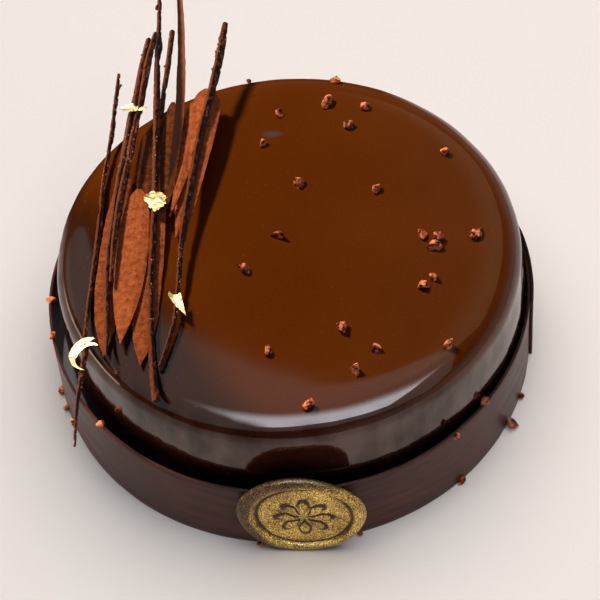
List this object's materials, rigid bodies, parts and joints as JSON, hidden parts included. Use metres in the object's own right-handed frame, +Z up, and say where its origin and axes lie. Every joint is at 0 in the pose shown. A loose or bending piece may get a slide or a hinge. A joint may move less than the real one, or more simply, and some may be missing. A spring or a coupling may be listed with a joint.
{
  "type": "chocolate truffle cake",
  "caption": "Round uncut mirror-glazed chocolate cake in a loose chocolate band, with a stamped seal and a fan of chocolate feathers and twigs.",
  "frame": {"origin": "centre of the glazed cake's base, at table height", "axes": "+Z up; the seal faces -Y; +Y runs back along the twigs; the fan of feathers lies towards -X"},
  "size_m": [0.1705, 0.206, 0.0743],
  "materials": {
    "mirror_glaze": "dark brown mirror glaze",
    "band_chocolate": "satin dark chocolate",
    "gold_dusted_chocolate": "dark chocolate dusted with gold powder",
    "feather_chocolate": "milk chocolate dusted with cocoa",
    "twig_chocolate": "piped dark chocolate",
    "gold_leaf": "edible gold leaf"
  },
  "bodies": {
    "root": {"cake": "mirror_glaze", "chocolate_band": "band_chocolate", "seal": "gold_dusted_chocolate", "blade": "twig_chocolate", "feather_1": "feather_chocolate", "feather_2": "feather_chocolate", "feather_3": "feather_chocolate", "feather_4": "feather_chocolate", "feather_5": "feather_chocolate", "feather_6": "feather_chocolate", "feather_7": "feather_chocolate", "feather_8": "feather_chocolate", "twig_1": "twig_chocolate", "twig_2": "twig_chocolate", "twig_3": "twig_chocolate", "twig_4": "twig_chocolate", "twig_5": "twig_chocolate", "twig_6": "twig_chocolate", "gold_leaf_1": "gold_leaf", "gold_leaf_2": "gold_leaf", "gold_leaf_3": "gold_leaf", "gold_leaf_4": "gold_leaf"}
  },
  "joints": []
}
